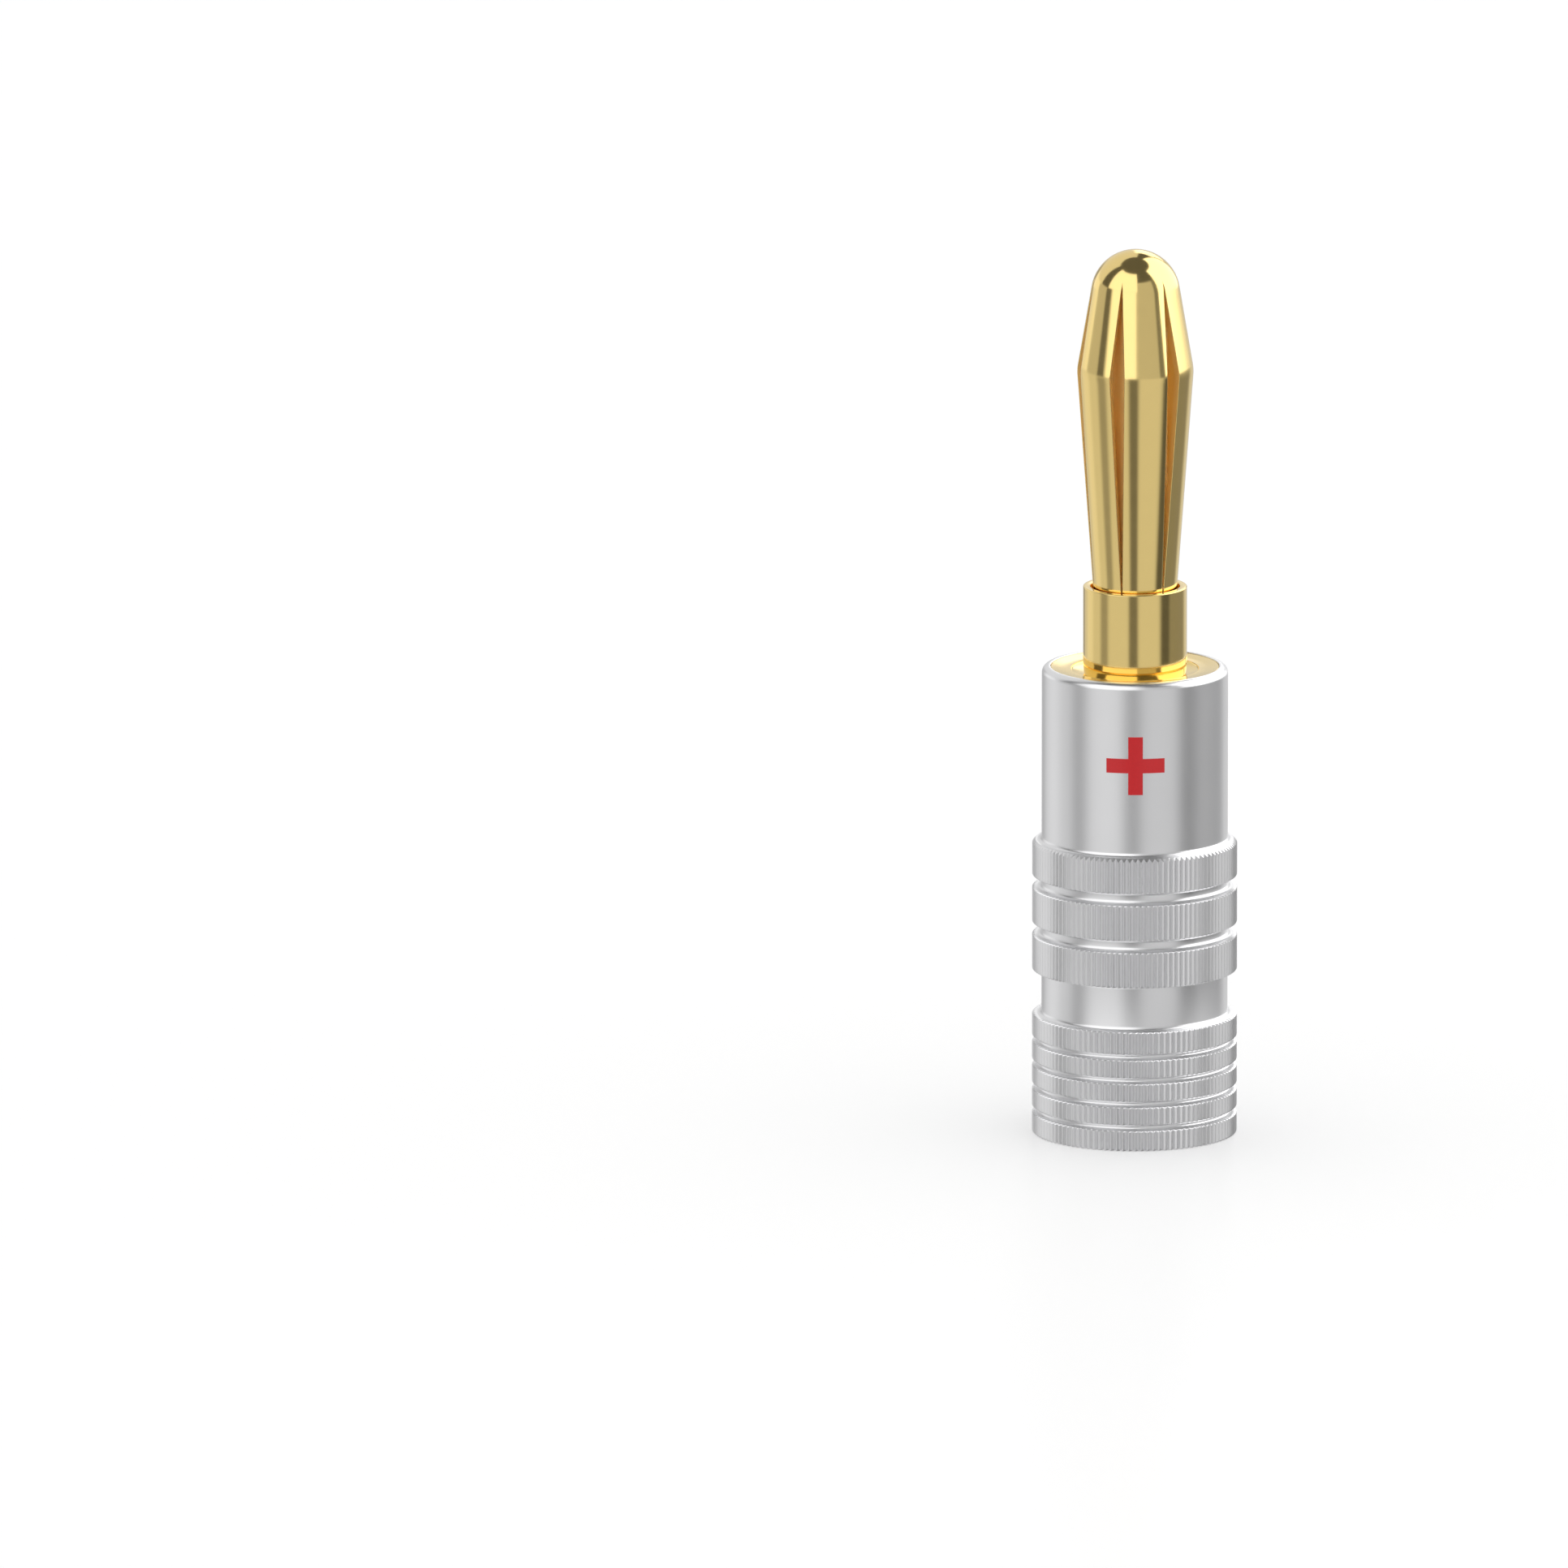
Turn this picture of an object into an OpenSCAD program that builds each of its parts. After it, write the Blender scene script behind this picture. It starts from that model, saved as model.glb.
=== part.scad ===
// Banana plug with a sprung lantern pin, standing on its rear face.
// Millimetres, +Z from the cable end to the nose, axis of the plug on Z.

/* [Grip] */
// Diameter over the knurled bands
grip_d = 8.7; // [8:0.05:9.6]
// Height of the tooth tips above the plain barrel and neck
band_rise = 0.4; // [0.38:0.01:0.5]
// Depth of the knurl between two teeth
tooth_depth = 0.15; // [0.1:0.01:0.18]
// Flat part of a tooth's crest, as a share of the tooth pitch
crest_share = 0.1; // [0.05:0.05:0.5]
// Concave fillet where a plain length meets a band
foot_fillet = 0.19; // [0.1:0.01:0.2]

/* [Front shell] */
// Length of the shell
shell_len = 13.1; // [11:0.05:16]
// Number of knurled bands
shell_bands = 3; // [1:1:4]
// Height of one band
shell_band_h = 1.51; // [1.2:0.01:1.8]
// Groove between two bands
shell_groove_w = 0.53; // [0.42:0.01:0.8]
// Teeth around one band
shell_teeth = 112; // [80:1:120]
// Bevel that the front edge of the foremost band is broken with
band_bevel = 0.14; // [0.05:0.01:0.16]
// Rounding of the rolled front rim
rim_round = 0.3; // [0.1:0.02:0.34]
// Width of the front rim, from the barrel to its opening
rim_wall = 0.37; // [0.36:0.01:0.45]
// Thickness of the rolled rim over the contact core
rim_t = 0.2; // [0.12:0.02:0.4]
// Radial overlap of the rolled rim on the contact core
rim_hold = 0.09; // [0.06:0.01:0.1]

/* [Rear cap] */
// Length of the cap with its neck
cap_len = 7.05; // [6.4:0.05:9]
// Length of the knurled part
cap_grip_len = 5.12; // [4.8:0.02:5.6]
// Number of thin knurled bands
cap_bands = 5; // [3:1:5]
// Height of the middle of the rearmost groove
cap_groove_z = 0.98; // [0.5:0.02:1]
// Distance from groove to groove
cap_pitch = 1.02; // [0.6:0.02:1.1]
// Groove between two thin bands
cap_groove_w = 0.26; // [0.16:0.02:0.3]
// Depth of that groove below the tooth tips
cap_groove_depth = 0.32; // [0.31:0.01:0.4]
// Teeth around one band
cap_teeth = 104; // [80:1:120]
// Step from the outside of the neck to the cable opening
cap_wall = 0.35; // [0.25:0.01:0.5]
// Depth of the cable opening
cap_bore_depth = 4.2; // [3.8:0.05:5]
// Bevel at the mouth of the cable opening
cap_mouth = 0.23; // [0.1:0.01:0.25]

/* [Wire sleeve] */
// Wall of the sleeve around the wire's hole
sleeve_wall = 0.61; // [0.5:0.01:1]
// Depth of the sleeve's rear end in the cable opening
sleeve_setback = 3.62; // [3:0.02:3.8]
// Length of the sleeve
sleeve_len = 8.4; // [7:0.1:9]
// Bevel at the rear end of the wire hole
sleeve_mouth = 0.42; // [0.1:0.02:0.44]
// Bevel of the front edges
sleeve_edge = 0.12; // [0.05:0.01:0.2]

/* [Screw joint] */
// Wall of the neck around the threaded sleeve
thread_wall = 0.62; // [0.55:0.01:0.75]
// Radial play of the threaded sleeve in the shell
thread_play = 0.05; // [0.03:0.01:0.08]
// Play of the contact core, which the shell turns on
turn_play = 0.03; // [0.02:0.01:0.05]
// Seam left between the cap and the shell when screwed tight
seam = 0.03; // [0.02:0.01:0.1]
// Bevel at the rear opening of the shell
entry_bevel = 0.2; // [0.1:0.02:0.3]

/* [Contact core] */
// Thickness of the front disc under the rolled rim
disc_t = 1.64; // [1:0.02:3]
// Radial step from the thread in to the hub behind the disc
hub_play = 0.13; // [0.1:0.01:0.3]
// Room left for wire strands between sleeve and hub
strand_gap = 0.5; // [0.3:0.05:0.8]
// Wall of the hub around the end of the wire
hub_wall = 0.9; // [0.7:0.05:1.6]
// Depth of that hole
hub_bore_depth = 3; // [1:0.1:3.6]
// Bevel at the mouth of that hole
hub_mouth = 0.4; // [0.1:0.05:0.5]
// Gap around the collar's foot in the recess of the front face
recess_gap = 0.255; // [0.15:0.005:0.3]
// Depth of the recess
recess_depth = 0.53; // [0.3:0.01:0.8]
// Rounding of the recess's lip
recess_round = 0.26; // [0.1:0.02:0.3]
// Width of the flat ring around the recess
flat_w = 0.46; // [0.2:0.02:0.6]
// Rise of the dished edge from the flat ring to the rim
dish_rise = 0.08; // [0.02:0.01:0.12]
// Drop of the dished edge below the rim
dish_drop = 0.03; // [0.02:0.01:0.08]

/* [Pin collar] */
// Outside diameter
collar_d = 4.41; // [4.2:0.01:4.6]
// Height above the shell's rim
collar_rise = 3.46; // [2.6:0.02:5]
// Rounding of the foot
collar_round = 1; // [0.4:0.05:1.1]
// Bevel of the front edge
collar_edge = 0.03; // [0.03:0.01:0.12]
// Gap around the lantern at the collar's mouth
mouth_gap = 0.11; // [0.05:0.01:0.15]
// Depth of that wider opening
mouth_depth = 0.5; // [0.2:0.05:0.8]
// Depth of the cup that holds the lantern
cup_depth = 2.6; // [1.6:0.05:3]
// Stem pressed into the contact core
stem_d = 1.8; // [1.4:0.1:1.9]
// Length of the stem
stem_len = 1.7; // [1:0.1:2]

/* [Lantern spring] */
// Length shown in front of the collar
lantern_len = 14.5; // [12:0.05:16]
// Diameter at the collar
base_d = 3.58; // [3.4:0.02:3.64]
// Diameter at the belly
belly_d = 4.95; // [4.4:0.05:5.2]
// Height of the belly, as a share of the length shown
belly_share = 0.645; // [0.55:0.005:0.7]
// Length of the soft bend at the belly
belly_bend = 0.5; // [0.2:0.1:1.6]
// Diameter of the round nose
nose_d = 3.78; // [3.6:0.02:3.96]
// Small flat at the very tip
nose_flat = 0.3; // [0.1:0.05:0.6]
// Sheet thickness
sheet_t = 0.3; // [0.15:0.01:0.35]
// Number of slits
slits = 6; // [4:1:8]
// Width of a slit at the belly
slit_belly_w = 0.67; // [0.3:0.01:0.8]
// Width of a slit at its foot
slit_foot_w = 0.08; // [0.05:0.01:0.2]
// Width of a slit at its point
slit_tip_w = 0.03; // [0.02:0.01:0.1]
// Height of a slit's point above the middle of the nose
slit_point = 0.8; // [0.4:0.05:1]
// Length of a slit hidden in the collar
slit_hidden = 1; // [0.5:0.1:1.4]
// Turn of the first slit from +X
slit_phase = 11; // [0:1:60]

/* [Core pin] */
// Diameter inside the lantern
core_d = 2.7; // [2:0.05:2.8]
// Height of the foot that fills the lantern's base
core_foot_h = 1.6; // [0.8:0.1:2.4]
// Bevel of the front edge
core_edge = 0.3; // [0.1:0.05:0.4]
// Tail pressed into the collar
tail_d = 1.8; // [1.2:0.1:1.9]
// Length of the tail
tail_len = 1.3; // [0.8:0.1:1.5]

/* [Hidden] */
$fn = 96;
steps = 6;
bend_steps = 10;
eps = 0.01;

grip_r = grip_d / 2;
root_r = grip_r - tooth_depth;
band_r = root_r - eps;
barrel_r = grip_r - band_rise;

shell_z = cap_len;
shell_pitch = shell_band_h + shell_groove_w;
bands_top = shell_z + shell_bands * shell_pitch - shell_groove_w;
rim_z = shell_z + shell_len;
rim_r = barrel_r - rim_wall;
lip_z = rim_z - rim_t;
seat_r = rim_r + rim_hold + turn_play;
dish_z = rim_z - dish_drop;
face_z = dish_z - dish_rise;
disc_top = lip_z - turn_play;
shoulder_z = disc_top - disc_t - turn_play;
sleeve_r = barrel_r - thread_wall;
shell_bore_r = sleeve_r + thread_play;

cap_bore_r = barrel_r - cap_wall;
groove_r = cap_groove_w / 2;
groove_fillet = 0.9 * groove_r;

wire_r = sleeve_r - sleeve_wall;
sleeve_front = sleeve_setback + sleeve_len;

hub_z = sleeve_front + strand_gap;
hub_r = sleeve_r - hub_play;
hub_bore_r = hub_r - hub_wall;
disc_r = seat_r - turn_play;
disc_z = shoulder_z + turn_play;
recess_z = face_z - recess_depth;
floor_round = 0.9 * (recess_depth - recess_round);

collar_r = collar_d / 2;
recess_r = collar_r + recess_gap;
flat_r = recess_r + recess_round + flat_w;
collar_z = rim_z + collar_rise;
cup_z = collar_z - cup_depth;
mouth_z = collar_z - mouth_depth;
stem_r = stem_d / 2;
stem_z = recess_z - stem_len;
tail_r = tail_d / 2;
tail_z = cup_z - tail_len;

base_r = base_d / 2;
mouth_r = base_r + mouth_gap;
belly_r = belly_d / 2;
nose_r = nose_d / 2;
belly_z = collar_z + belly_share * lantern_len;
nose_z = collar_z + lantern_len - nose_r;
nose_in_r = nose_r - sheet_t;
base_in_r = base_r - sheet_t;
// lean of the rear cone and of the front cone that runs tangent into the nose
rear_lean = atan((belly_r - base_r) / (belly_z - collar_z));
front_lean = atan(belly_r / (nose_z - belly_z)) - asin(nose_r / norm([belly_r, nose_z - belly_z]));
bend_r = belly_bend / 2 / tan((rear_lean + front_lean) / 2);
bend_out = bend_r / cos((rear_lean + front_lean) / 2);
bend_tilt = (rear_lean - front_lean) / 2;
core_r = core_d / 2;
core_top = nose_z + sqrt(nose_in_r * nose_in_r - pow(core_r - core_edge, 2)) - turn_play;

// points of an arc about [r, z], from angle a to angle b
function arc(r, z, radius, a, b, n = steps) =
    [for (i = [0:n]) [r + radius * cos(a + (b - a) * i / n), z + radius * sin(a + (b - a) * i / n)]];

// a groove between two bands with fillets at its floor, as the profile passes it on the way up
function groove(floor_r, low, high, fillet) =
    concat(
        [[band_r, low]],
        arc(floor_r + fillet, low + fillet, fillet, 270, 180),
        arc(floor_r + fillet, high - fillet, fillet, 180, 90),
        [[band_r, high]]
    );

// height of the middle of a groove of the rear cap
function groove_z(i) = cap_groove_z + i * cap_pitch;

// outline of a knurled band seen along the axis
module knurl(teeth) {
    pitch = 360 / teeth;
    crest = pitch * crest_share / 2;
    polygon([
        for (i = [0:teeth - 1])
            for (p = [[grip_r, -crest], [grip_r, crest], [root_r, pitch / 2]])
                [p[0] * cos(i * pitch + p[1]), p[0] * sin(i * pitch + p[1])]
    ]);
}

// one knurled ring around the plain core of a piece
module band(z, h, teeth) {
    translate([0, 0, z])
        linear_extrude(h)
            difference() {
                knurl(teeth);
                circle(barrel_r);
            }
}

// turned core of the front shell, up to the floor of the knurl
module shell_core() {
    rotate_extrude()
        polygon(concat(
            [[shell_bore_r + entry_bevel, shell_z], [band_r, shell_z]],
            [for (i = [1:1:shell_bands - 1])
                each groove(barrel_r, shell_z + i * shell_pitch - shell_groove_w, shell_z + i * shell_pitch,
                    foot_fillet)],
            [[band_r, bands_top]],
            arc(barrel_r + foot_fillet, bands_top + foot_fillet, foot_fillet, 270, 180),
            arc(barrel_r - rim_round, rim_z - rim_round, rim_round, 0, 90),
            [[rim_r, rim_z], [rim_r, lip_z], [seat_r, lip_z], [seat_r, shoulder_z]],
            [[shell_bore_r, shoulder_z], [shell_bore_r, shell_z + entry_bevel]]
        ));
}

module front_shell() {
    color("#c4c5c6") {
        shell_core();
        for (i = [0:1:shell_bands - 2])
            band(shell_z + i * shell_pitch, shell_band_h, shell_teeth);
        intersection() {
            band(bands_top - shell_band_h, shell_band_h, shell_teeth);
            translate([0, 0, bands_top - shell_band_h])
                cylinder(shell_band_h, grip_r + shell_band_h - band_bevel, grip_r - band_bevel);
        }
    }
}

// turned core of the rear cap, up to the floor of the knurl
module cap_core() {
    rotate_extrude()
        polygon(concat(
            [[cap_bore_r + cap_mouth, 0], [band_r, 0]],
            [for (i = [0:cap_bands - 2])
                each groove(grip_r - cap_groove_depth, groove_z(i) - groove_r, groove_z(i) + groove_r,
                    groove_fillet)],
            [[band_r, cap_grip_len]],
            arc(barrel_r + foot_fillet, cap_grip_len + foot_fillet, foot_fillet, 270, 180),
            [[barrel_r, cap_len - seam], [sleeve_r, cap_len - seam], [sleeve_r, cap_bore_depth]],
            [[cap_bore_r, cap_bore_depth], [cap_bore_r, cap_mouth]]
        ));
}

module rear_cap() {
    color("#c4c5c6") {
        cap_core();
        for (i = [0:cap_bands - 1]) {
            low = i == 0 ? 0 : groove_z(i - 1) + groove_r;
            high = i == cap_bands - 1 ? cap_grip_len : groove_z(i) - groove_r;
            band(low, high - low, cap_teeth);
        }
    }
}

module wire_sleeve() {
    color("#d9b765")
        rotate_extrude()
            polygon([
                [wire_r + sleeve_mouth, sleeve_setback],
                [sleeve_r, sleeve_setback],
                [sleeve_r, sleeve_front - sleeve_edge],
                [sleeve_r - sleeve_edge, sleeve_front],
                [wire_r + sleeve_edge, sleeve_front],
                [wire_r, sleeve_front - sleeve_edge],
                [wire_r, sleeve_setback + sleeve_mouth]
            ]);
}

module contact_core() {
    color("#d9b765")
        rotate_extrude()
            polygon(concat(
                [[0, hub_z + hub_bore_depth], [hub_bore_r, hub_z + hub_bore_depth]],
                [[hub_bore_r, hub_z + hub_mouth], [hub_bore_r + hub_mouth, hub_z], [hub_r, hub_z]],
                [[hub_r, disc_z], [disc_r, disc_z], [disc_r, disc_top]],
                [[rim_r - turn_play, disc_top], [rim_r - turn_play, dish_z], [flat_r, face_z]],
                arc(recess_r + recess_round, face_z - recess_round, recess_round, 90, 180),
                arc(recess_r - floor_round, recess_z + floor_round, floor_round, 360, 270),
                [[stem_r, recess_z], [stem_r, stem_z], [0, stem_z]]
            ));
}

module pin_collar() {
    color("#d9b765")
        rotate_extrude()
            polygon(concat(
                [[0, stem_z], [stem_r, stem_z], [stem_r, recess_z]],
                arc(collar_r - collar_round, recess_z + collar_round, collar_round, 270, 360),
                [[collar_r, collar_z - collar_edge], [collar_r - collar_edge, collar_z]],
                [[mouth_r, collar_z], [mouth_r, mouth_z], [base_r, mouth_z], [base_r, cup_z]],
                [[tail_r, cup_z], [tail_r, tail_z], [0, tail_z]]
            ));
}

module core_pin() {
    color("#d9b765")
        rotate_extrude()
            polygon([
                [0, tail_z],
                [tail_r, tail_z],
                [tail_r, cup_z],
                [base_in_r, cup_z],
                [base_in_r, cup_z + core_foot_h],
                [core_r, cup_z + core_foot_h],
                [core_r, core_top - core_edge],
                [core_r - core_edge, core_top],
                [0, core_top]
            ]);
}

// half section of the lantern, thinned by t all round
module lantern_half(t) {
    low = cup_z - (t > 0 ? eps : 0);
    round_r = nose_r - t;
    round_z = nose_z + round_r * sin(front_lean);
    top_z = nose_z + sqrt(round_r * round_r - nose_flat * nose_flat / 4);
    polygon(concat(
        [[0, low], [base_r - t, low], [base_r - t, collar_z]],
        arc(belly_r - bend_out * cos(bend_tilt), belly_z + bend_out * sin(bend_tilt), bend_r - t,
            -rear_lean, front_lean, bend_steps),
        [[round_r * cos(front_lean), round_z], [0, round_z]]
    ));
    intersection() {
        translate([0, nose_z])
            circle(round_r);
        translate([0, round_z])
            square([nose_d, top_z - round_z]);
    }
}

// one slit, from its hidden foot through the belly to its point on the nose
module slit() {
    foot_z = collar_z - slit_hidden;
    rotate([90, 0, 90])
        linear_extrude(belly_d)
            polygon([
                [-slit_foot_w / 2, foot_z],
                [slit_foot_w / 2, foot_z],
                [slit_belly_w / 2, belly_z],
                [slit_tip_w / 2, nose_z + slit_point],
                [-slit_tip_w / 2, nose_z + slit_point],
                [-slit_belly_w / 2, belly_z]
            ]);
}

module lantern_spring() {
    color("#d9b765")
        rotate([0, 0, slit_phase])
            difference() {
                rotate_extrude()
                    difference() {
                        lantern_half(0);
                        lantern_half(sheet_t);
                    }
                for (i = [0:slits - 1])
                    rotate([0, 0, i * 360 / slits])
                        slit();
            }
}

front_shell();
rear_cap();
wire_sleeve();
contact_core();
pin_collar();
core_pin();
lantern_spring();
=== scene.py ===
import math

import bmesh
import bpy
from bpy.props import FloatProperty, FloatVectorProperty, IntProperty, PointerProperty
from bpy.types import Operator, Panel, PropertyGroup
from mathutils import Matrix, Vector


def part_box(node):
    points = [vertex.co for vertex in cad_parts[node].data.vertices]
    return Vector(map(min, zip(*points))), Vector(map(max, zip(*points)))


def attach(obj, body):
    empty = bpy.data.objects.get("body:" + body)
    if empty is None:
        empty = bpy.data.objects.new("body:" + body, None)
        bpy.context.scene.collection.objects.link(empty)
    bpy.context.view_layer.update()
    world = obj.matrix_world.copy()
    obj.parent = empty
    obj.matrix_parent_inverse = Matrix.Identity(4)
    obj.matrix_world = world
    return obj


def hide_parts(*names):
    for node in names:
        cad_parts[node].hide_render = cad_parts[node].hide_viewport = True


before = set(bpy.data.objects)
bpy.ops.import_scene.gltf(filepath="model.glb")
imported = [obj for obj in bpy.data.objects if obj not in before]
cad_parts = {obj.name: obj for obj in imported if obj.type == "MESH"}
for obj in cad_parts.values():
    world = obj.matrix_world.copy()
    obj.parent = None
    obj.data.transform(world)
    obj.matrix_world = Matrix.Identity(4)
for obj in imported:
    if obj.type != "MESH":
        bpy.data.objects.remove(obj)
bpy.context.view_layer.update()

bl_info = {
    "name": "Banana plug",
    "version": (1, 0, 0),
    "blender": (4, 5, 0),
    "location": "3D View > Sidebar > Banana plug",
    "description": "Builds the visible pieces of a banana plug around its packed solids",
    "category": "Add Mesh",
}

MM = 0.001
FULL_TURN = 2 * math.pi


def lowest(node):
    """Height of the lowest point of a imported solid."""
    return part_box(node)[0].z


def highest(node):
    """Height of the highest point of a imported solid."""
    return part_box(node)[1].z


def hex_linear(code):
    """Linear RGB of an sRGB hex colour."""
    parts = [int(code[k : k + 2], 16) / 255 for k in (1, 3, 5)]
    return tuple(c / 12.92 if c <= 0.04045 else ((c + 0.055) / 1.055) ** 2.4 for c in parts)


# Sizes and colours


def length(name, description, default):
    """A length in metres that shows in the scene's own unit."""
    return FloatProperty(
        name=name, description=description, default=default, min=0.0, precision=5, unit="LENGTH"
    )


def colour(name, description, code):
    """A colour, written as an sRGB hex value."""
    return FloatVectorProperty(
        name=name,
        description=description,
        default=hex_linear(code),
        min=0.0,
        max=1.0,
        size=3,
        subtype="COLOR",
    )


class GripSizes(PropertyGroup):
    """The knurl that the shell and the cap share"""

    grip_d: length("Grip diameter", "Diameter over the tooth tips", 8.7 * MM)
    barrel_d: length("Barrel diameter", "Diameter of the plain barrel and neck", 7.9 * MM)
    tooth_depth: length("Tooth depth", "Depth of the knurl between two teeth", 0.15 * MM)
    tooth_round: length("Tooth rounding", "How far a crest's corners are worn down", 0.007 * MM)
    edge: length("Band edge", "Broken edge at the ends of a band", 0.035 * MM)
    foot_fillet: length("Foot fillet", "Concave fillet where a plain length meets a band", 0.19 * MM)


class ShellSizes(PropertyGroup):
    """The front shell"""

    teeth: IntProperty(name="Teeth", description="Teeth around one band", default=112, min=12)
    bands: IntProperty(name="Bands", description="Number of knurled bands", default=3, min=1)
    band_h: length("Band height", "Height of one band", 1.51 * MM)
    groove_w: length("Groove width", "Groove between two bands", 0.53 * MM)
    bevel: length("Front bevel", "Bevel on the front edge of the foremost band", 0.14 * MM)
    rim_round: length("Rim rounding", "Rounding of the rolled front rim", 0.3 * MM)
    rim_r: length("Rim opening", "Radius inside the front rim", 3.58 * MM)
    rim_t: length("Rim thickness", "Thickness of the rolled rim over the contact core", 0.2 * MM)
    seat_r: length("Seat radius", "Radius of the seat that turns on the contact core", 3.7 * MM)
    seat_h: length("Seat height", "Height of that seat", 1.7 * MM)
    bore_r: length("Bore radius", "Radius of the bore at the bottom of the thread", 3.38 * MM)
    entry: length("Entry bevel", "Bevel at the rear opening", 0.2 * MM)
    ridge: length("Thread height", "Height of the thread inside the bore", 0.3 * MM)
    broken: length("Broken edge", "How far the inner edges are broken", 0.05 * MM)


class CapSizes(PropertyGroup):
    """The rear cap"""

    teeth: IntProperty(name="Teeth", description="Teeth around one band", default=104, min=12)
    bands: IntProperty(name="Bands", description="Number of thin knurled bands", default=5, min=1)
    grip_len: length("Knurled length", "Length of the knurled part", 5.12 * MM)
    groove_z: length("First groove", "Height of the middle of the rearmost groove", 0.98 * MM)
    pitch: length("Groove pitch", "Distance from groove to groove", 1.02 * MM)
    groove_w: length("Groove width", "Groove between two thin bands", 0.26 * MM)
    groove_depth: length("Groove depth", "Depth of that groove below the tooth tips", 0.32 * MM)
    bore_r: length("Opening radius", "Radius of the cable opening", 3.6 * MM)
    bore_depth: length("Opening depth", "Depth of the cable opening", 4.2 * MM)
    mouth: length("Opening bevel", "Bevel at the mouth of the cable opening", 0.23 * MM)
    groove_fillet: length("Groove fillet", "Fillet at each side of a groove's floor", 0.117 * MM)
    broken: length("Broken edge", "How far the other edges are broken", 0.04 * MM)


class SleeveSizes(PropertyGroup):
    """The threaded wire sleeve"""

    outer_r: length("Outer radius", "Radius over the thread", 3.33 * MM)
    wire_r: length("Wire hole", "Radius of the hole for the wire", 2.72 * MM)
    mouth: length("Hole bevel", "Bevel at the rear end of the wire hole", 0.42 * MM)
    edge: length("Front edge", "Bevel of the front edges", 0.12 * MM)
    thread_pitch: length("Thread pitch", "Rise of the thread in one turn", 0.75 * MM)
    thread_depth: length("Thread depth", "Depth of the thread", 0.35 * MM)
    broken: length("Broken edge", "How far the other edges are broken", 0.03 * MM)


class CoreSizes(PropertyGroup):
    """The contact core and the collar that carries the pin"""

    disc_r: length("Disc radius", "Radius of the front disc", 3.67 * MM)
    disc_t: length("Disc thickness", "Thickness of the front disc", 1.64 * MM)
    hub_r: length("Hub radius", "Radius of the hub behind the disc", 3.2 * MM)
    hub_bore_r: length("Hub hole", "Radius of the hole for the end of the wire", 2.3 * MM)
    hub_bore_depth: length("Hub hole depth", "Depth of that hole", 3.0 * MM)
    hub_mouth: length("Hub hole bevel", "Bevel at the mouth of that hole", 0.4 * MM)
    dish_r: length("Dish radius", "Radius of the front face inside the shell's rim", 3.572 * MM)
    dish_rise: length("Dish rise", "Rise of the front face's edge towards the rim", 0.08 * MM)
    flat_w: length("Flat ring", "Width of the flat ring around the recess", 0.46 * MM)
    recess_r: length("Recess radius", "Radius of the hollow around the collar's foot", 2.72 * MM)
    recess_depth: length("Recess depth", "Depth of that hollow at the collar", 0.2 * MM)
    recess_round: length("Recess rounding", "Rounding under the hollow's edge", 0.12 * MM)
    stem_r: length("Stem radius", "Radius of the collar's stem", 1.8 / 2 * MM)
    collar_r: length("Collar radius", "Outside radius of the collar", 4.41 / 2 * MM)
    foot_h: length("Collar foot", "Height of the collar's foot above the front face", 0.52 * MM)
    foot_in: length("Collar foot narrowing", "How far the collar narrows down to its foot", 0.05 * MM)
    collar_edge: length("Collar edge", "Bevel of the collar's front edge", 0.03 * MM)
    mouth_r: length("Collar mouth", "Radius of the opening around the lantern", 1.9 * MM)
    mouth_depth: length("Mouth depth", "Depth of that wider opening", 0.5 * MM)
    tail_r: length("Tail radius", "Radius of the tail of the core pin", 1.8 / 2 * MM)
    pin_r: length("Pin radius", "Radius of the core pin inside the lantern", 2.7 / 2 * MM)
    pin_foot: length("Pin foot", "Height of the pin's foot that fills the lantern's base", 1.6 * MM)
    pin_edge: length("Pin edge", "Bevel of the pin's front edge", 0.3 * MM)
    rim_gap: length("Rim gap", "Play between the disc and the shell's rim", 0.03 * MM)
    core_broken: length("Core's broken edge", "How far the core's edges are broken", 0.05 * MM)
    collar_broken: length("Collar's broken edge", "How far the collar's edges are broken", 0.04 * MM)
    pin_broken: length("Pin's broken edge", "How far the pin's edges are broken", 0.08 * MM)


class LanternSizes(PropertyGroup):
    """The slit lantern spring"""

    base_r: length("Base radius", "Radius at the collar", 1.79 * MM)
    belly_r: length("Belly radius", "Radius at the belly", 2.475 * MM)
    belly_share: FloatProperty(
        name="Belly height", description="As a share of the length shown", default=0.645, subtype="FACTOR"
    )
    belly_bend: length("Belly bend", "Length of the soft bend at the belly", 0.5 * MM)
    nose_r: length("Nose radius", "Radius of the round nose", 3.78 / 2 * MM)
    nose_flat: length("Nose flat", "Small flat at the very tip", 0.3 * MM)
    sheet_t: length("Sheet thickness", "Thickness of the sheet", 0.3 * MM)
    slits: IntProperty(name="Slits", description="Number of slits", default=6, min=2)
    slit_w: length("Slit width", "Width of a slit at the belly", 0.67 * MM)
    slit_point: length("Slit point", "Height of a slit's point above the middle of the nose", 0.8 * MM)
    slit_hidden: length("Hidden slit", "Length of a slit hidden in the collar", 1.0 * MM)
    slit_phase: FloatProperty(
        name="Slit phase",
        description="Turn of the first slit from +X",
        default=math.radians(11),
        subtype="ANGLE",
    )
    slit_edge: length("Slit edge", "Width of the rounded edge along a slit", 0.03 * MM)


class MarkSizes(PropertyGroup):
    """The printed polarity mark"""

    height: length("Mark height", "Height of the middle of the mark", 16.6 * MM)
    span: length("Mark span", "Width and height of the plus sign", 2.5 * MM)
    bar_w: length("Bar width", "Width of one bar of the plus sign", 0.62 * MM)
    ink_t: length("Ink thickness", "How far the ink stands above the metal", 0.012 * MM)


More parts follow.
